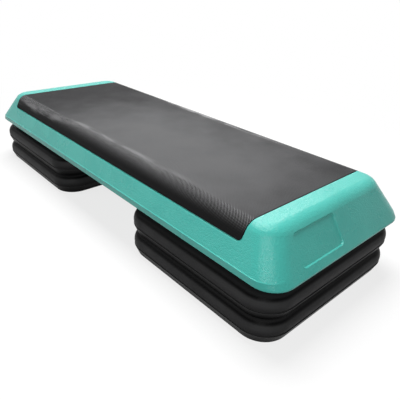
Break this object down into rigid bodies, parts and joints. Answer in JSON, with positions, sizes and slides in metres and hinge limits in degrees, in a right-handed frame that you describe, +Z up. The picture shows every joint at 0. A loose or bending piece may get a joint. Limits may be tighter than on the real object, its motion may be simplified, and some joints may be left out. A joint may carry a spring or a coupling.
{
  "type": "aerobic step platform",
  "caption": "Long moulded exercise step with a rubber tread mat wrapped over its edges, standing on stacked square risers that lift off to set its height.",
  "frame": {"origin": "on the floor, under the middle of the platform", "axes": "+X along the platform, +Y across it away from the long side shown in the picture, +Z up"},
  "size_m": [1.1, 0.406, 0.2],
  "materials": {
    "deck_plastic": "satin, fine moulded grain",
    "mat_rubber": "matte, fine non-slip dots",
    "riser_plastic": "satin",
    "foot_rubber": "matte"
  },
  "bodies": {
    "platform": {"platform_shell": "deck_plastic", "tread_mat": "mat_rubber", "platform_foot_1": "foot_rubber", "platform_foot_2": "foot_rubber", "platform_foot_3": "foot_rubber", "platform_foot_4": "foot_rubber", "platform_foot_5": "foot_rubber", "platform_foot_6": "foot_rubber", "platform_foot_7": "foot_rubber", "platform_foot_8": "foot_rubber"},
    "left_lower": {"left_lower_riser": "riser_plastic", "left_lower_foot_1": "foot_rubber", "left_lower_foot_2": "foot_rubber", "left_lower_foot_3": "foot_rubber", "left_lower_foot_4": "foot_rubber"},
    "left_upper": {"left_upper_riser": "riser_plastic", "left_upper_foot_1": "foot_rubber", "left_upper_foot_2": "foot_rubber", "left_upper_foot_3": "foot_rubber", "left_upper_foot_4": "foot_rubber"},
    "right_lower": {"right_lower_riser": "riser_plastic", "right_lower_foot_1": "foot_rubber", "right_lower_foot_2": "foot_rubber", "right_lower_foot_3": "foot_rubber", "right_lower_foot_4": "foot_rubber"},
    "right_upper": {"right_upper_riser": "riser_plastic", "right_upper_foot_1": "foot_rubber", "right_upper_foot_2": "foot_rubber", "right_upper_foot_3": "foot_rubber", "right_upper_foot_4": "foot_rubber"}
  },
  "joints": [
    {"name": "left_riser_lift", "type": "slide", "parent": "left_lower", "child": "left_upper", "axis": [0, 0, 1], "range_m": [0, 0.1]},
    {"name": "platform_lift", "type": "slide", "parent": "left_upper", "child": "platform", "axis": [0, 0, 1], "range_m": [0, 0.15]},
    {"name": "right_seat_release", "type": "slide", "parent": "platform", "child": "right_upper", "axis": [0, 0, -1], "range_m": [0, 0.15]},
    {"name": "right_riser_release", "type": "slide", "parent": "right_upper", "child": "right_lower", "axis": [0, 0, -1], "range_m": [0, 0.1]}
  ],
  "couplings": [
    {"joint": "right_seat_release", "follows": "platform_lift", "ratio": 1},
    {"joint": "right_riser_release", "follows": "left_riser_lift", "ratio": 1}
  ]
}
